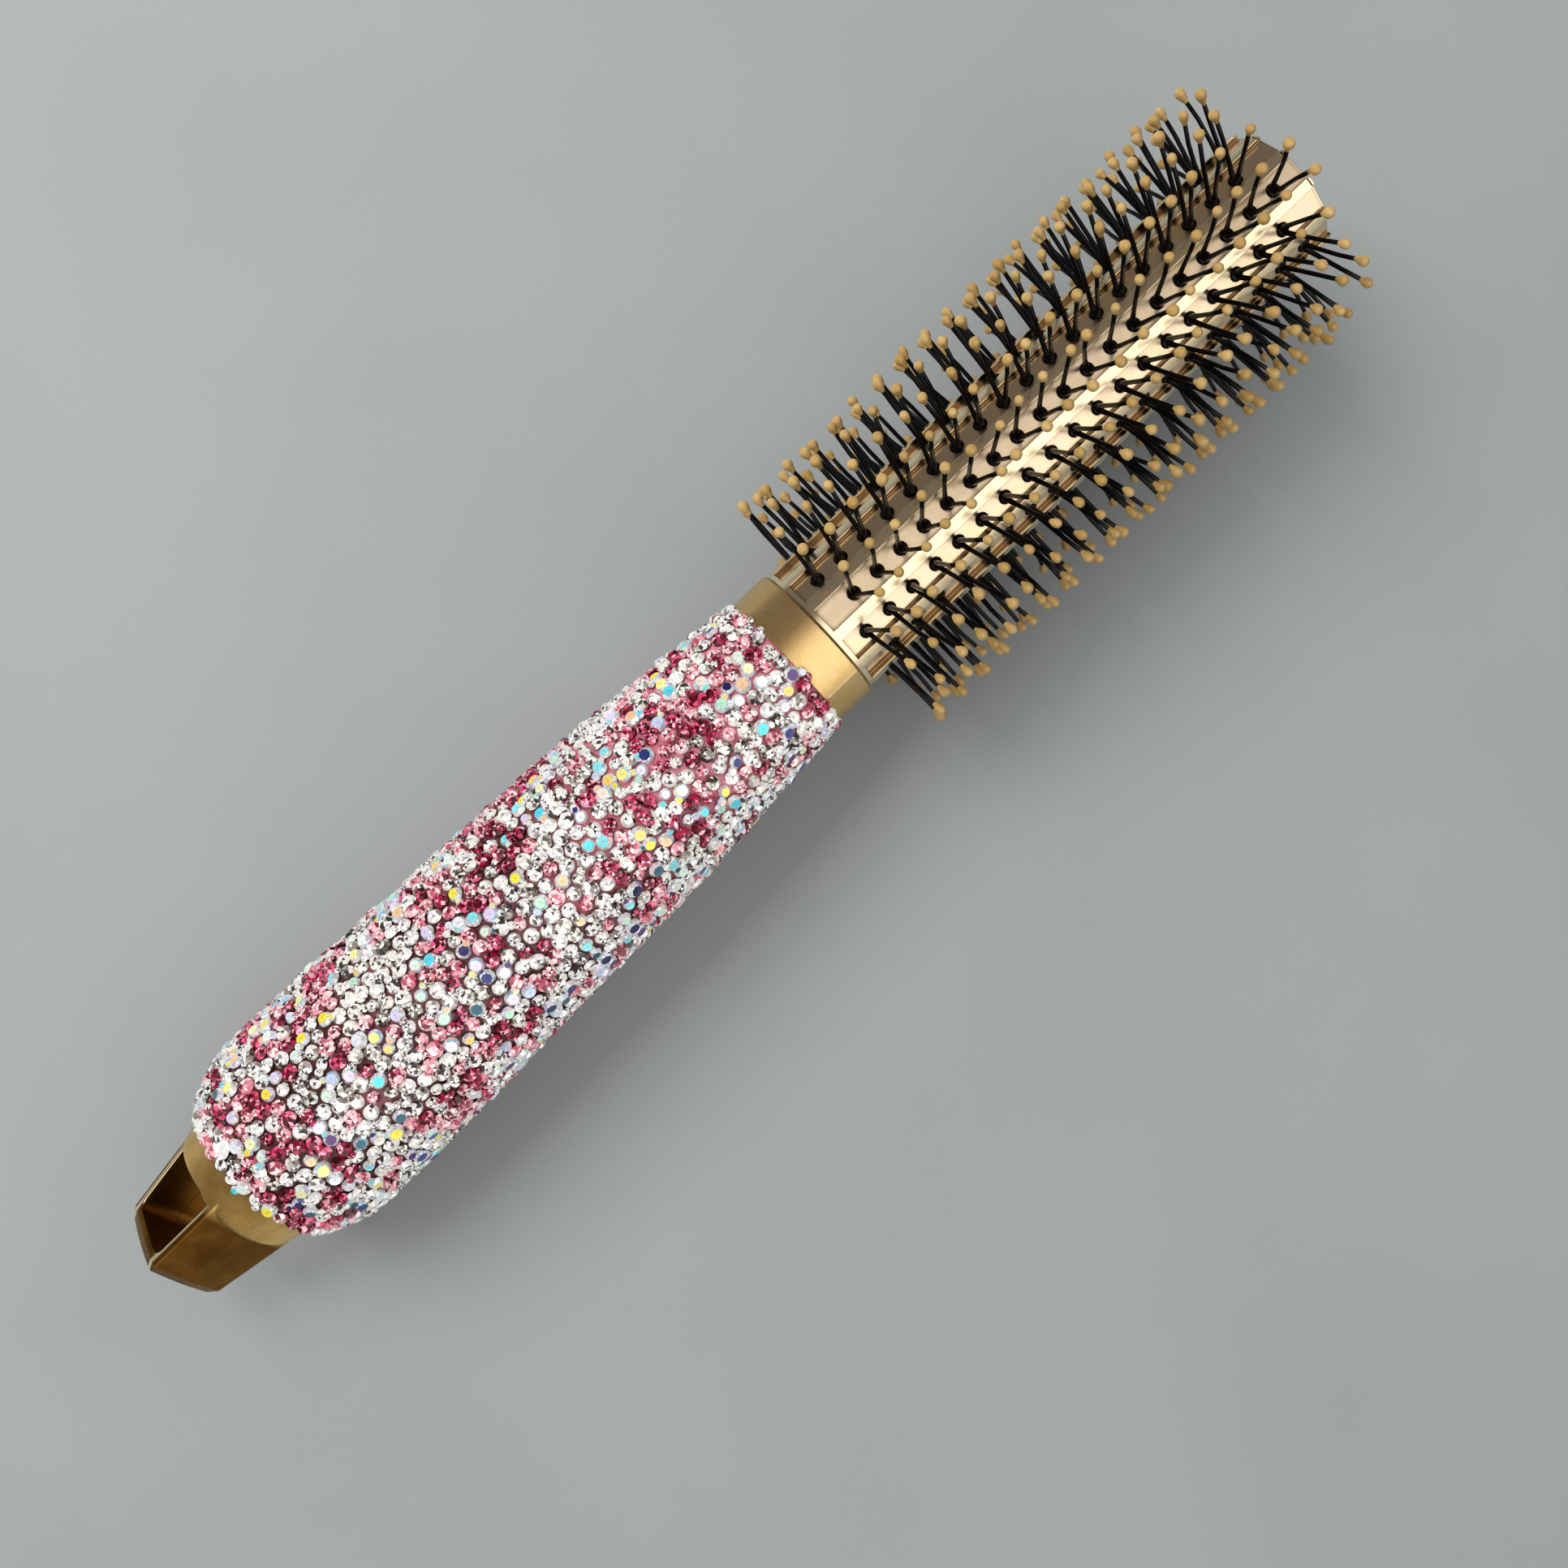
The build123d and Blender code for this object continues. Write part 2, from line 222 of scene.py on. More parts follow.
class Shader:
    """A short way to write a Principled material's node tree."""

    def __init__(self, name, **inputs):
        self.material = bpy.data.materials.new(name)
        self.material.use_nodes = True
        self.tree = self.material.node_tree
        self.surface = self.tree.nodes["Principled BSDF"]
        self.place = self.tree.nodes.new("ShaderNodeTexCoord").outputs["Object"]
        for key, value in inputs.items():
            self.set(key, value)

    def set(self, key, value):
        self.link(value, self.surface.inputs[key.replace("_", " ")])

    def link(self, value, socket):
        if isinstance(value, bpy.types.NodeSocket):
            self.tree.links.new(value, socket)
        else:
            socket.default_value = value

    def noise(self, size, detail=2.0, roughness=0.5, stretch=(1, 1, 1)):
        """Noise whose blobs are about size metres across."""
        scale = self.tree.nodes.new("ShaderNodeMapping")
        scale.inputs["Scale"].default_value = stretch
        self.tree.links.new(self.place, scale.inputs["Vector"])
        node = self.tree.nodes.new("ShaderNodeTexNoise")
        self.tree.links.new(scale.outputs["Vector"], node.inputs["Vector"])
        node.inputs["Scale"].default_value = 1 / size
        node.inputs["Detail"].default_value = detail
        node.inputs["Roughness"].default_value = roughness
        return node.outputs["Fac"]

    def coordinate(self, axis):
        """One coordinate of the object's place, in metres."""
        node = self.tree.nodes.new("ShaderNodeSeparateXYZ")
        self.tree.links.new(self.place, node.inputs["Vector"])
        return node.outputs[axis]

    def height_over_floors(self):
        """Distance from the brush axis with the barrel's taper taken out, in metres."""
        sides = self.tree.nodes.new("ShaderNodeVectorMath")
        sides.operation = "MULTIPLY"
        self.tree.links.new(self.place, sides.inputs[0])
        sides.inputs[1].default_value = (0, 1, 1)
        reach = self.tree.nodes.new("ShaderNodeVectorMath")
        reach.operation = "LENGTH"
        self.tree.links.new(sides.outputs["Vector"], reach.inputs[0])
        level = self.tree.nodes.new("ShaderNodeMath")
        level.operation = "MULTIPLY_ADD"
        self.tree.links.new(self.coordinate("X"), level.inputs[0])
        level.inputs[1].default_value = BARREL_TAPER
        self.tree.links.new(reach.outputs["Value"], level.inputs[2])
        return level.outputs["Value"]

    def along_direction(self, source, direction):
        """Size of the part of a vector that points along the direction, either way."""
        share = self.tree.nodes.new("ShaderNodeVectorMath")
        share.operation = "DOT_PRODUCT"
        self.tree.links.new(source, share.inputs[0])
        share.inputs[1].default_value = direction.normalized()
        size = self.tree.nodes.new("ShaderNodeMath")
        size.operation = "ABSOLUTE"
        self.tree.links.new(share.outputs["Value"], size.inputs[0])
        return size.outputs["Value"]

    def slot_rims(self):
        """1 on the narrow tops of the tail's two long walls, beside the hanging slot, where a painted
        highlight goes.
        """
        geometry = self.tree.nodes.new("ShaderNodeNewGeometry")
        facing = self.along_direction(geometry.outputs["Normal"], SLOT_DIRECTION)
        place = self.tree.nodes.new("ShaderNodeMath")
        place.operation = "MULTIPLY_ADD"
        self.tree.links.new(self.coordinate("X"), place.inputs[0])
        place.inputs[1].default_value = -SLOT_FLARE
        across = self.along_direction(self.place, SLOT_DIRECTION.cross(ALONG))
        self.tree.links.new(across, place.inputs[2])
        edge = place.outputs["Value"]
        inner = self.span(edge, SLOT_RIM - 0.15 * MM, SLOT_RIM, 0.0, 1.0)
        outer = self.span(edge, SLOT_RIM + 0.55 * MM, SLOT_RIM + 0.8 * MM, 1.0, 0.0)
        strip = self.mix(inner, (0, 0, 0), outer)
        return self.mix(self.span(facing, 0.35, 0.6, 0.0, 1.0), (0, 0, 0), strip)

    def off_seam(self):
        """0 on the plane where the handle halves meet and 1 away from it."""
        across = self.along_direction(self.place, SLOT_DIRECTION)
        return self.span(across, 0.8 * MM, 1.2 * MM, 0.0, 1.0)

    def sum(self, first, second):
        node = self.tree.nodes.new("ShaderNodeMath")
        node.use_clamp = True
        self.link(first, node.inputs[0])
        self.link(second, node.inputs[1])
        return node.outputs["Value"]

    def attribute(self, name):
        node = self.tree.nodes.new("ShaderNodeAttribute")
        node.attribute_name = name
        return node.outputs["Color"]

    def ramp(self, value, *stops):
        node = self.tree.nodes.new("ShaderNodeValToRGB")
        ramp = node.color_ramp
        while len(ramp.elements) < len(stops):
            ramp.elements.new(0.5)
        for element, (position, colour) in zip(ramp.elements, stops):
            element.position = position
            element.color = colour if len(colour) == 4 else (*colour, 1)
        self.link(value, node.inputs["Fac"])
        return node.outputs["Color"]

    def span(self, value, low, high, out_low, out_high):
        node = self.tree.nodes.new("ShaderNodeMapRange")
        self.link(value, node.inputs["Value"])
        node.inputs["From Min"].default_value = low
        node.inputs["From Max"].default_value = high
        node.inputs["To Min"].default_value = out_low
        node.inputs["To Max"].default_value = out_high
        return node.outputs["Result"]

    def mix(self, share, first, second, blend="MIX"):
        node = self.tree.nodes.new("ShaderNodeMix")
        node.data_type = "RGBA"
        node.blend_type = blend
        self.link(share, node.inputs["Factor"])
        for key, value in ((6, first), (7, second)):
            if isinstance(value, tuple):
                value = value if len(value) == 4 else (*value, 1)
            self.link(value, node.inputs[key])
        return node.outputs[2]

    def painted_corner_shade(self, reach, colour, dark):
        """The colour, with painted shade towards the dark one in corners narrower than reach metres."""
        node = self.tree.nodes.new("ShaderNodeAmbientOcclusion")
        node.samples = 6
        node.inputs["Distance"].default_value = reach
        return self.mix(self.span(node.outputs["AO"], 0.45, 0.9, 1.0, 0.0), colour, dark)

    def painted_edge_highlight(self, rounded, colour, bright):
        """The colour, with a painted highlight where the rounded normal turns away from the true one."""
        flat = self.tree.nodes.new("ShaderNodeNewGeometry")
        turn = self.tree.nodes.new("ShaderNodeVectorMath")
        turn.operation = "DOT_PRODUCT"
        self.tree.links.new(rounded, turn.inputs[0])
        self.tree.links.new(flat.outputs["Normal"], turn.inputs[1])
        return self.mix(self.span(turn.outputs["Value"], 0.86, 0.99, 0.8, 0.0), colour, bright)

    def facet_lines(self, width, colour, dark):
        node = self.tree.nodes.new("ShaderNodeWireframe")
        node.inputs["Size"].default_value = width
        return self.mix(self.span(node.outputs["Fac"], 0.0, 1.0, 0.0, 0.75), colour, dark)

    def bevel(self, radius):
        node = self.tree.nodes.new("ShaderNodeBevel")
        node.samples = 6
        node.inputs["Radius"].default_value = radius
        return node.outputs["Normal"]

    def bump(self, height, depth, normal=None):
        node = self.tree.nodes.new("ShaderNodeBump")
        node.inputs["Distance"].default_value = depth
        self.link(height, node.inputs["Height"])
        if normal is not None:
            self.link(normal, node.inputs["Normal"])
        return node.outputs["Normal"]


# ---------------------------------------------------------------- materials

def barrel_plating():
    """Champagne plating: beige channel floors, with painted shade on the channel walls and a painted
    highlight on the ribs.
    """
    s = Shader("barrel_plating", Metallic=1.0)
    level = s.height_over_floors()
    tone = s.ramp(s.noise(5 * MM, 3), (0.35, (0.80, 0.66, 0.45)), (0.65, (0.80, 0.64, 0.49)))
    # Painted shade: the channel walls, between floor and rib level, are darkened to brown.
    tone = s.mix(s.span(level, FLOOR_LEVEL, FLOOR_LEVEL + 0.08 * MM, 0.0, 1.0), tone, (0.30, 0.20, 0.11))
    # Painted highlight: the rib tops are lightened to cream.
    tone = s.mix(s.span(level, RIB_LEVEL - 0.12 * MM, RIB_LEVEL, 0.0, 1.0), tone, (0.93, 0.80, 0.57))
    specks = s.noise(0.5 * MM, 4, 0.7)
    tone = s.mix(s.span(specks, 0.62, 0.74, 0.0, 0.35), tone, (0.52, 0.38, 0.22))
    # Painted shade in the corners between ribs, walls and bristle beads.
    tone = s.painted_corner_shade(0.8 * MM, tone, (0.26, 0.17, 0.09))
    # Painted highlight along the edges of the ribs and channels.
    rounded = s.bevel(0.16 * MM)
    s.set("Base Color", s.painted_edge_highlight(rounded, tone, (0.94, 0.83, 0.62)))
    s.set("Roughness", s.span(s.noise(1.5 * MM, 3), 0.3, 0.7, 0.15, 0.26))
    normal = s.bump(s.noise(3 * MM, 2, stretch=(0.3, 1, 1)), 0.03 * MM, rounded)
    s.set("Normal", s.bump(specks, 0.003 * MM, normal))
    return s.material


def handle_gold():
    """Satin gold lacquer, palest at the collar and deeper on the dome, with painted shade that turns the
    tail brown.
    """
    s = Shader("handle_gold", Metallic=0.95)
    end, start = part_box("handle_front_half")
    middle = (end.x + start.x) / 2
    along = s.coordinate("X")
    collar = s.ramp(s.noise(7 * MM, 3), (0.3, (0.74, 0.51, 0.23)), (0.7, (0.82, 0.60, 0.31)))
    dome = s.ramp(s.noise(3 * MM, 3), (0.3, (0.80, 0.52, 0.17)), (0.7, (0.95, 0.66, 0.27)))
    # Painted shade: the tail gets a dark brown copy of the gold.
    tail = s.ramp(s.noise(4 * MM, 3), (0.3, (0.19, 0.085, 0.012)), (0.7, (0.30, 0.15, 0.03)))
    tone = s.mix(s.span(along, middle - 20 * MM, middle, 1.0, 0.0), collar, dome)
    on_tail = s.span(along, end.x + TAIL_LENGTH - 2 * MM, end.x + TAIL_LENGTH, 1.0, 0.0)
    tone = s.mix(on_tail, tone, tail)
    grain = s.ramp(s.noise(0.14 * MM, 3, 0.7), (0.3, (0.25, 0.25, 0.25)), (0.7, (0.75, 0.75, 0.75)))
    tone = s.mix(0.5, tone, grain, "OVERLAY")
    # Painted shade in the handle's corners and hollows.
    tone = s.painted_corner_shade(2.5 * MM, tone, (0.16, 0.085, 0.02))
    # Painted highlight along the handle's edges, kept off the seam between the halves on the tail half.
    lower = s.span(along, middle - 1 * MM, middle, 1.0, 0.0)
    cover = s.mix(lower, (1, 1, 1), s.off_seam())
    tone = s.painted_edge_highlight(s.bevel(0.25 * MM), tone, s.mix(cover, tone, (0.95, 0.80, 0.55)))
    # Painted highlight: cream on the rims beside the hanging slot.
    rim_highlight = s.mix(on_tail, (0, 0, 0), s.slot_rims())
    s.set("Base Color", s.mix(rim_highlight, tone, (1.0, 0.86, 0.62)))
    s.set("Roughness", s.span(s.noise(0.3 * MM, 2), 0.3, 0.7, 0.26, 0.38))
    s.set("Normal", s.bump(s.noise(0.16 * MM, 3), 0.012 * MM, s.bevel(0.25 * MM)))
    return s.material


def adhesive():
    """Pink between the stones near the neck, and in shade between the crowded ones behind."""
    s = Shader("pink_adhesive", Roughness=0.32, Subsurface_Weight=0.15)
    low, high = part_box("adhesive_layer")
    pink = s.ramp(s.noise(2 * MM, 3), (0.3, (0.74, 0.20, 0.28)), (0.7, (0.90, 0.36, 0.42)))
    # Painted shade in the gaps between the crowded stones, near black.
    gap_shade = s.ramp(s.noise(1.5 * MM, 3), (0.3, (0.06, 0.022, 0.02)), (0.7, (0.16, 0.06, 0.055)))
    wander = s.span(s.noise(14 * MM, 2), 0.3, 0.7, -0.3, 0.3)
    share = s.sum(s.span(s.coordinate("X"), low.x + 45 * MM, high.x - 8 * MM, 1.0, 0.0), wander)
    s.set("Base Color", s.mix(share, pink, gap_shade))
    s.set("Subsurface Radius", (0.001, 0.0005, 0.0005))
    s.set("Normal", s.bump(s.noise(0.6 * MM, 3), 0.05 * MM))
    return s.material


def stone_glass(name, roughness):
    s = Shader(name, Roughness=roughness, Metallic=0.35, Coat_Weight=1.0, Coat_Roughness=0.03)
    cloud = s.span(s.noise(0.5 * MM, 2), 0.4, 0.7, 0.0, 0.25)
    glint = s.facet_lines(0.022 * MM, s.attribute("glint"), (0.05, 0.03, 0.03))
    s.set("Base Color", s.mix(cloud, glint, (0.4, 0.36, 0.36), "MULTIPLY"))
    # Painted light: the facets glow faintly in their painted colours.
    s.set("Emission Color", glint)
    s.set("Emission Strength", 0.24)
    return s.material


def bristle_black():
    s = Shader("bristle_nylon", Specular_IOR_Level=0.35)
    tone = s.ramp(s.noise(1.5 * MM, 2), (0.3, (0.002, 0.002, 0.002)), (0.75, (0.008, 0.006, 0.006)))
    s.set("Base Color", tone)
    s.set("Roughness", s.span(s.noise(0.8 * MM, 2), 0.3, 0.7, 0.16, 0.32))
    s.set("Normal", s.bump(s.noise(0.5 * MM, 2), 0.02 * MM))
    return s.material


def ball_amber():
    s = Shader("ball_resin", Roughness=0.3, Subsurface_Weight=0.25, Coat_Weight=0.4, Coat_Roughness=0.15)
    cloud = s.span(s.noise(0.9 * MM, 3), 0.35, 0.7, 0.0, 0.5)
    # The glint attribute here holds each ball's own resin tone.
    body = s.mix(cloud, s.attribute("glint"), (0.48, 0.29, 0.09))
    s.set("Base Color", body)
    s.set("Subsurface Radius", (0.0010, 0.0006, 0.0003))
    s.set("Normal", s.bump(s.noise(0.45 * MM, 2), 0.03 * MM))
    return s.material


def anchor_steel():
    s = Shader("anchor_wire", Metallic=1.0, Roughness=0.4)
    grey = s.ramp(s.noise(0.5 * MM), (0.3, (0.5, 0.5, 0.5)), (0.7, (0.65, 0.65, 0.65)))
    s.set("Base Color", grey)
    return s.material


def floor_paint():
    s = Shader("floor_paint", Roughness=0.75)
    grey = s.ramp(s.noise(60 * MM, 4), (0.3, (0.385, 0.405, 0.40)), (0.7, (0.41, 0.43, 0.425)))
    s.set("Base Color", grey)
    s.set("Normal", s.bump(s.noise(1.2 * MM, 3), 0.05 * MM))
    return s.material


# ---------------------------------------------------------------- stones

FACET_COUNT = 57
TABLE_FACETS = 8
STAR_FACETS = 8
MAIN_FACETS = 8
RIM_FACETS = 17


def gem_shape(table_radius):
    """A flat-backed faceted stone of girdle radius 1 and height 1, table up: vertices and faces.
    The faces come as 8 table sectors, 8 stars, 8 mains, 16 lower facets, 16 edge facets and a back."""
    def ring(count, radius, height, shift=0.0):
        turns = [2 * math.pi * (i + shift) / count for i in range(count)]
        return [(radius * math.cos(t), radius * math.sin(t), height) for t in turns]

    points = [(0, 0, 0.97)] + ring(8, table_radius, 1.0) + ring(8, 0.84, 0.66, 0.5)
    points += ring(16, 1.0, 0.22) + ring(16, 0.95, 0.0)
    table, middle, girdle, back = 1, 9, 17, 33
    faces = [(0, table + i, table + (i + 1) % 8) for i in range(8)]
    faces += [(table + (i + 1) % 8, table + i, middle + i) for i in range(8)]
    faces += [(table + i, middle + (i - 1) % 8, girdle + 2 * i, middle + i) for i in range(8)]
    for i in range(8):
        a, b, c = girdle + 2 * i, girdle + 2 * i + 1, girdle + (2 * i + 2) % 16
        faces += [(middle + i, a, b), (middle + i, b, c)]
    for i in range(16):
        j = (i + 1) % 16
        faces.append((girdle + j, girdle + i, back + i, back + j))
    faces.append(tuple(back + i for i in reversed(range(16))))
    return np.array(points, float), faces


def shaded(colour, glow):
    return tuple(min(1.0, c * glow) for c in colour) + (1,)


def facet_sector(facet):
    """Which eighth of the stone's crown a facet lies in."""
    lower = TABLE_FACETS + STAR_FACETS + MAIN_FACETS
    return facet % 8 if facet < lower else (facet - lower) // 2


def cut_colours(dice, shades, rim):
    """Each eighth of the crown takes one shade, with single facets and table sectors of their own.
    The light and dark shades are painted highlights and painted dark reflections, and the edge facets
    take painted shade.
    """
    sectors = [dice.choice(shades) for _ in range(8)]
    colours = []
    for facet in range(FACET_COUNT):
        if facet >= FACET_COUNT - RIM_FACETS:
            shade = rim
        elif facet < TABLE_FACETS or dice.random() < 0.3:
            shade = dice.choice(shades)
        else:
            shade = sectors[facet_sector(facet)]
        colours.append(shaded(shade, dice.uniform(0.85, 1.12)))
    return colours


def crystal_colours(dice, normal):
    """White facets cut by dark ones, as painted highlights and painted dark reflections; some stones are
    painted half dark, as a mirror-backed stone looks.
    """
    mostly_dark = dice.random() < 0.15
    levels = (1.0, 0.9, 0.5, 0.2, 0.05) if mostly_dark else (1.0, 1.0, 1.0, 1.0, 1.0, 0.85, 0.35, 0.07)
    warm = dice.uniform(0.90, 0.98)
    shades = [(v, v * (0.84 + 0.15 * v), v * warm * (0.78 + 0.22 * v)) for v in levels]
    return cut_colours(dice, shades, (0.16, 0.10, 0.085))


def light_rose_colours(dice, normal):
    # Bright facets are painted highlights and dark ones painted reflections and shade; the edge facets
    # take painted shade.
    bright = ((1.0, 0.88, 0.86), (1.0, 0.64, 0.66), (0.95, 0.42, 0.48))
    dark = ((0.62, 0.14, 0.20), (0.20, 0.03, 0.05))
    return cut_colours(dice, bright + dark, (0.20, 0.05, 0.06))


def deep_rose_colours(dice, normal):
    # Dark facets are painted reflections and shade, bright ones painted highlights; the edge facets take
    # painted shade.
    dark = ((0.05, 0.0, 0.004), (0.12, 0.0, 0.012), (0.24, 0.004, 0.035))
    bright = ((0.45, 0.015, 0.08), (0.85, 0.12, 0.26), (1.0, 0.52, 0.62))
    return cut_colours(dice, dark + bright, (0.05, 0.0, 0.005))


# Flash colours of the coating, painted as fixed colours; the dark blue family is painted shade.
WARM_TABLES = ((1.0, 0.84, 0.10), (1.0, 0.90, 0.30), (1.0, 0.66, 0.20), (1.0, 0.62, 0.38),
               (0.92, 0.95, 0.55))
COOL_TABLES = ((0.12, 0.72, 0.86), (0.30, 0.80, 0.85), (0.55, 0.88, 0.66), (0.62, 0.70, 0.95))
PALE_TABLES = ((0.82, 0.94, 0.82), (1.0, 0.84, 0.74), (0.80, 0.70, 0.96), (0.86, 0.88, 0.94))
DARK_TABLES = ((0.025, 0.02, 0.11), (0.04, 0.05, 0.22), (0.10, 0.04, 0.18), (0.02, 0.12, 0.18))


def aurora_colours(dice, normal):
    """A painted flash of colour on the table, one painted cool glint beside it and pastel facets around.
    The painted flash turns from warm on top to a dark blue painted shade on the side that leans away,
    and the edge facets take painted shade."""
    lean = -normal[1]
    weights = (5, 3, 4, 0.5) if lean < 0.1 else (3, 2, 4, 3) if lean < 0.6 else (1, 2, 3, 5)
    families = (WARM_TABLES, COOL_TABLES, PALE_TABLES, DARK_TABLES)
    flash = dice.choice(dice.choices(families, weights=weights)[0])
    colours = [shaded(flash, dice.uniform(0.93, 1.08)) for _ in range(TABLE_FACETS)]
    glint = dice.choice(COOL_TABLES)
    glint_facet = dice.randrange(STAR_FACETS)
    pastels = ((1, 1, 1), (0.80, 0.84, 0.98), (1.0, 0.84, 0.74), (0.86, 0.78, 0.98), (0.82, 0.98, 0.86))
    for facet in range(FACET_COUNT - TABLE_FACETS):
        beside = facet < STAR_FACETS and (facet - glint_facet) % STAR_FACETS < 2
        if beside:
            colours.append(shaded(glint, 1.0))
        elif facet >= FACET_COUNT - TABLE_FACETS - RIM_FACETS:
            colours.append(shaded((0.36, 0.28, 0.26), dice.uniform(0.5, 1.0)))
        else:
            colours.append(shaded(dice.choice(pastels), dice.uniform(0.6, 1.0)))
    return colours


def stone_places(node):
    """Seat, outward direction, radius and height of each stone of a CAD node, in a fixed order."""
    places = []
    for spots in sorted(islands(node), key=lambda s: tuple(np.round(s.mean(0), 6))):
        centre = spots.mean(0)
        values, vectors = np.linalg.eigh(np.cov((spots - centre).T))
        normal = vectors[:, 0]
        if normal[1] * centre[1] + normal[2] * centre[2] < 0:
            normal = -normal
        heights = (spots - centre) @ normal
        across = np.linalg.norm(spots - centre - np.outer(heights, normal), axis=1).max()
        places.append((centre + normal * heights.min(), normal, across, heights.max() - heights.min()))
    return places


class CutStones:
    """Faceted stones of one colour, gathered as they are set."""

    def __init__(self, colours_of, dice, table_radius):
        self.colours_of = colours_of
        self.dice = dice
        self.shape, self.shape_faces = gem_shape(table_radius)
        self.points, self.faces, self.colours = [], [], []

    def add(self, seat, normal, radius, height):
        tilt = np.array([self.dice.gauss(0, STONE_TILT) for _ in range(3)])
        turned = frame_about(normal + tilt)
        spin = self.dice.uniform(0, 2 * math.pi)
        cos, sin = math.cos(spin), math.sin(spin)
        local = self.shape * (radius, radius, height)
        local = local @ np.array(((cos, sin, 0), (-sin, cos, 0), (0, 0, 1)))
        start = len(self.points) * len(self.shape)
        self.points.append(local @ turned.T + seat)
        self.faces.extend(tuple(start + i for i in face) for face in self.shape_faces)
        self.colours.extend(self.colours_of(self.dice, normal))


def stone_piece(slot, colours_of, roughness, seed, table_radius=0.56):
    """Faceted stones in the places, sizes and directions of the CAD node's stones, with a small
    stone pushed into some of the gaps between them."""
    node = slot + "_stones"
    material = stone_glass(slot, roughness)
    dice = random.Random(seed)
    stones = CutStones(colours_of, dice, table_radius)
    for seat, normal, across, height in stone_places(node):
        flat = frame_about(normal)[:, :2]
        slide = flat @ np.array((dice.gauss(0, STONE_SLIDE), dice.gauss(0, STONE_SLIDE))) * MM
        sink = normal * dice.uniform(-0.12, 0.06) * MM
        radius = across * dice.uniform(1.02, 1.16)
        stones.add(seat + slide + sink, normal, radius, height * dice.uniform(0.9, 1.15))
        if dice.random() < SMALL_STONE_SHARE:
            turn = math.pi / 6 + math.pi / 3 * dice.randrange(6)
            step = flat @ np.array((math.cos(turn), math.sin(turn))) * SMALL_STONE_REACH
            small = dice.uniform(0.55, 0.78) * MM
            stones.add(seat + step + normal * SMALL_STONE_RISE, normal, small, 0.8 * small)
    places = np.concatenate(stones.points)
    piece = make_piece(node + "_cut", places, stones.faces, material, smooth=False)
    face_colours(piece, "glint", stones.colours)
    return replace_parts(piece, node)


# ---------------------------------------------------------------- bristles

def row_angle(row):
    return 2 * math.pi * (row - 1) / ROW_COUNT


def row_tufts(row):
    """Root place, outward direction and side direction of each tuft in a row, from the CAD node."""
    angle = row_angle(row)
    out = Vector((0, -math.sin(angle), math.cos(angle)))
    side = Vector((0, math.cos(angle), math.sin(angle)))
    tufts = []
    for spots in islands(f"bristle_row_{row:02d}"):
        x = (spots[:, 0].min() + spots[:, 0].max()) / 2
        reach = spots[:, 1] * out.y + spots[:, 2] * out.z
        tufts.append((x, reach.min() + ROOT_DEPTH, reach.max()))
    return sorted(tufts), out, side


def leg_tips(root, out, side, reach, lean, dice):
    """Where the two ends of a folded filament stand."""
    tips = []
    for hand in (1, -1):
        height = reach + dice.gauss(0.15, 0.25) * MM
        spread = hand * (LEG_SPREAD + dice.gauss(0, 0.28) * MM)
        forward = lean + dice.gauss(0, 0.45) * MM
        tips.append(root + out * height + side * spread + ALONG * forward)
    return tips


def filament_path(root, out, side, tips, dice):
    """Points and relative widths from one tip down to the fold and up to the other tip."""
    path, widths = [], []
    for hand, tip in zip((1, -1), tips):
        foot = root + side * hand * 0.55 * MM + out * 0.75 * MM
        bow = ALONG * dice.gauss(0, 0.12) * MM + side * hand * dice.uniform(-0.2, 0.1) * MM
        leg = [tip, tip.lerp(foot, 0.4) + bow, tip.lerp(foot, 0.75) + bow * 0.6, foot]
        leg.append(root + side * hand * 0.42 * MM + out * 0.38 * MM)
        if hand == 1:
            path = leg + [root + out * 0.12 * MM]
            widths = [*LEG_WIDTHS, FOLD_WIDTH]
        else:
            path += reversed(leg)
            widths += reversed(LEG_WIDTHS)
    return path, widths


def tuft_row(row, black, amber):
    dice = random.Random(SEED + row)
    tufts, out, side = row_tufts(row)
    bristles, balls = Gathered(), Gathered()
    facing = abs((row_angle(row) + math.pi) % (2 * math.pi) - math.pi)
    for x, floor, top in tufts:
        root = ALONG * x + out * floor
        share = (x - tufts[0][0]) / (tufts[-1][0] - tufts[0][0])
        lean = 0.6 * MM + (1.4 * share - 0.7) * MM * math.sin(facing)
        tips = leg_tips(root, out, side, top - floor, lean, dice)
        path, widths = filament_path(root, out, side, tips, dice)
        bristles.add(*tube(path, [FILAMENT_RADIUS * width for width in widths], 8))
        bristles.add(*bead(root, out, dice))
        for foot, tip in ((path[1], tips[0]), (path[-2], tips[1])):
            balls.add(*ball(tip, (tip - foot).normalized(), dice), colour=ball_colour(dice))
    name = f"{row:02d}"
    piece = make_piece("bristle_tufts_" + name, bristles.vertices, bristles.faces, black)
    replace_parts(piece, "bristle_row_" + name)
    tips_piece = make_piece("ball_ends_" + name, balls.vertices, balls.faces, amber)
    face_colours(tips_piece, "glint", balls.colours)
    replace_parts(tips_piece, "ball_tips_row_" + name)


def bead(root, out, dice):
    """Rounded black bead that seals the tuft's hole."""
    radius = dice.uniform(1.0, 1.12) * MM
    profile = [(0, -0.3), (0.97, -0.3), (1.0, 0.05), (0.86, 0.27), (0.5, 0.4), (0, 0.44)]
    vertices, faces = lathe([(r * radius, h * MM) for r, h in profile], 14)
    wobble = dice.uniform(0, 2 * math.pi)
    turned = Matrix([list(row) for row in frame_about(np.array(out))])
    placed = []
    for v in vertices:
        swell = 1 + 0.06 * math.sin(3 * math.atan2(v.y, v.x) + wobble)
        placed.append(root + turned @ Vector((v.x * swell, v.y * swell, v.z)))
    return placed, faces


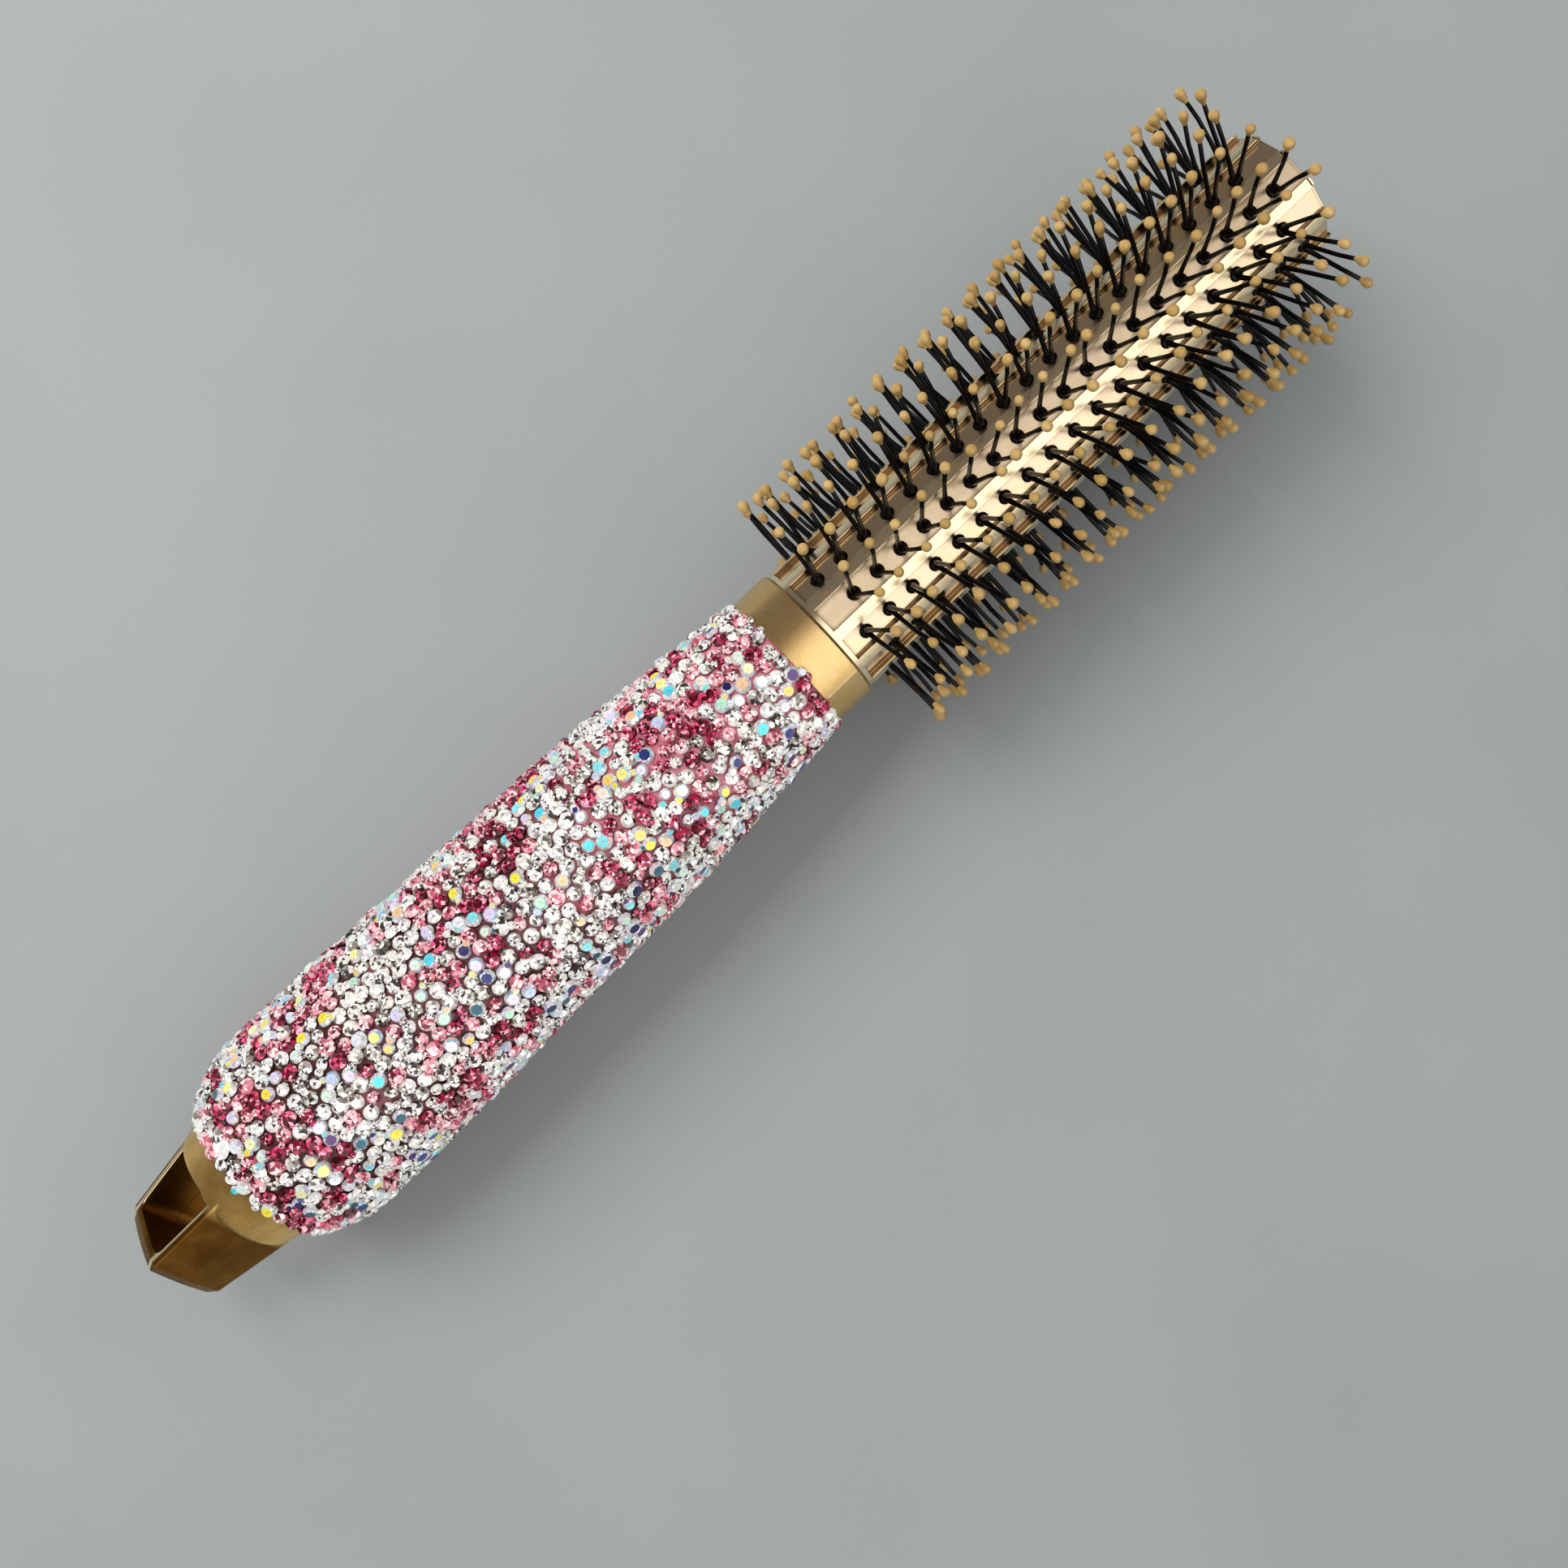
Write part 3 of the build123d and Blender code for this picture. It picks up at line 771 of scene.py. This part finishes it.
def ball(tip, ahead, dice):
    """Drop of resin on a filament's end: round ahead, drawn out to the filament behind."""
    radius = BALL_RADIUS * dice.uniform(0.86, 1.1)
    length = BALL_LENGTH * dice.uniform(0.88, 1.15)
    profile = [(0, -0.56), (0.36, -0.56), (0.42, -0.42), (0.66, -0.24), (0.92, -0.05), (1.0, 0.12),
               (0.9, 0.28), (0.62, 0.39), (0.3, 0.435), (0, 0.45)]
    vertices, faces = lathe([(r * radius, h * length) for r, h in profile], 14)
    turned = Matrix([list(row) for row in frame_about(np.array(ahead))])
    sag = Vector((dice.gauss(0, 0.1), dice.gauss(0, 0.1), 0)) * MM
    placed = [tip + turned @ (v + sag * (0.5 + v.z / length)) for v in vertices]
    return placed, faces


def ball_colour(dice):
    shade = dice.uniform(0.0, 1.0)
    light, dark = (0.68, 0.47, 0.20), (0.50, 0.32, 0.11)
    return tuple(a + (b - a) * shade for a, b in zip(light, dark)) + (1,)


# ---------------------------------------------------------------- stage, light and camera

def vertex_places(names):
    """Vertex positions of the named pieces, as rows of one array."""
    rows = []
    for name in names:
        mesh = bpy.data.objects[name].data
        places = np.zeros(len(mesh.vertices) * 3, np.float32)
        mesh.vertices.foreach_get("co", places)
        rows.append(places.reshape(-1, 3))
    return np.concatenate(rows).astype(float)


def add_floor():
    """Pale floor that touches the brush where it rests: on its lower bristle tips and the grip."""
    tips = vertex_places([f"ball_ends_{row:02d}" for row in range(1, ROW_COUNT + 1)])
    stones = vertex_places([f"{kind}_stones_cut" for kind in STONE_KINDS])
    front = tips[tips[:, 2].argmin()]
    back = stones[stones[:, 2].argmin()]
    slope = (front[2] - back[2]) / (front[0] - back[0])
    seen = np.concatenate((tips, stones))
    level = (seen[:, 2] - slope * seen[:, 0]).min()
    corners = [(-1, -1), (1, -1), (1, 1), (-1, 1)]
    vertices = [(x * FLOOR_HALF, y * FLOOR_HALF, level + slope * x * FLOOR_HALF) for x, y in corners]
    mesh = bpy.data.meshes.new("floor")
    mesh.from_pydata(vertices, [], [(0, 1, 2, 3)])
    mesh.materials.append(floor_paint())
    floor = bpy.data.objects.new("floor", mesh)
    bpy.context.scene.collection.objects.link(floor)


def add_window():
    """Soft key light from the +Y side, which draws the shadow but no highlight."""
    light = bpy.data.lights.new("window", "AREA")
    light.shape = "SQUARE"
    light.size = WINDOW_SIZE
    light.energy = WINDOW_POWER
    lamp = bpy.data.objects.new("window", light)
    lamp.location = WINDOW_PLACE
    lamp.rotation_euler = (BRUSH_MIDDLE - lamp.location).to_track_quat("-Z", "Y").to_euler()
    lamp.visible_glossy = False
    bpy.context.scene.collection.objects.link(lamp)


def panel_colour(tree):
    """Brightness of the panel by direction: full towards its middle, dim elsewhere."""
    place = tree.nodes.new("ShaderNodeTexCoord")
    facing = tree.nodes.new("ShaderNodeVectorMath")
    facing.operation = "DOT_PRODUCT"
    tree.links.new(place.outputs["Generated"], facing.inputs[0])
    facing.inputs[1].default_value = PANEL_DIRECTION.normalized()
    panel = tree.nodes.new("ShaderNodeValToRGB")
    tree.links.new(facing.outputs["Value"], panel.inputs["Fac"])
    panel.color_ramp.interpolation = "EASE"
    dim, full = panel.color_ramp.elements
    dim.position = 0.45
    dim.color = (0.13, 0.12, 0.11, 1)
    full.position = 0.97
    full.color = (1.0, 0.97, 0.92, 1)
    return panel.outputs["Color"]


def add_sky():
    """Even soft light, with a large bright panel above the -Y side that only shiny surfaces see."""
    world = bpy.data.worlds.new("studio")
    bpy.context.scene.world = world
    world.use_nodes = True
    tree = world.node_tree
    link = tree.links.new
    brighter = tree.nodes.new("ShaderNodeBackground")
    link(panel_colour(tree), brighter.inputs["Color"])
    brighter.inputs["Strength"].default_value = PANEL_STRENGTH
    even = tree.nodes["Background"]
    even.inputs["Color"].default_value = (0.97, 0.99, 1.0, 1)
    even.inputs["Strength"].default_value = SKY_STRENGTH
    path = tree.nodes.new("ShaderNodeLightPath")
    mix = tree.nodes.new("ShaderNodeMixShader")
    link(path.outputs["Is Glossy Ray"], mix.inputs["Fac"])
    link(even.outputs["Background"], mix.inputs[1])
    link(brighter.outputs["Background"], mix.inputs[2])
    link(mix.outputs["Shader"], tree.nodes["World Output"].inputs["Surface"])


def add_camera():
    lens = bpy.data.cameras.new("camera")
    lens.sensor_width = CAMERA_SENSOR_MM
    lens.lens = CAMERA_LENS_MM
    lens.clip_start = 0.01
    camera = bpy.data.objects.new("camera", lens)
    right = Vector((math.cos(BRUSH_SLANT), -math.sin(BRUSH_SLANT), 0))
    up = Vector((math.sin(BRUSH_SLANT), math.cos(BRUSH_SLANT), 0))
    turn = Matrix((right, up, right.cross(up))).transposed()
    camera.matrix_world = Matrix.Translation(CAMERA_PLACE) @ turn.to_4x4()
    bpy.context.scene.collection.objects.link(camera)
    bpy.context.scene.camera = camera


def paint(node, material):
    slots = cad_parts[node].data.materials
    if not slots:
        slots.append(material)
    for index in range(len(slots)):
        slots[index] = material


def main():
    plating, gold, pink = barrel_plating(), handle_gold(), adhesive()
    for node in ("barrel", "barrel_end_cap"):
        paint(node, plating)
    for node in ("handle_front_half", "handle_back_half"):
        paint(node, gold)
    paint("adhesive_layer", pink)
    paint("tuft_anchors", anchor_steel())
    stone_piece("crystal", crystal_colours, 0.08, SEED + 31)
    stone_piece("aurora", aurora_colours, 0.14, SEED + 32, table_radius=0.68)
    stone_piece("light_rose", light_rose_colours, 0.1, SEED + 33)
    stone_piece("deep_rose", deep_rose_colours, 0.1, SEED + 34)
    black, amber = bristle_black(), ball_amber()
    for row in range(1, ROW_COUNT + 1):
        tuft_row(row, black, amber)
    add_floor()
    add_sky()
    add_window()
    add_camera()
    bpy.context.scene.view_settings.view_transform = "Standard"
    bpy.context.scene.view_settings.look = "Medium High Contrast"


main()
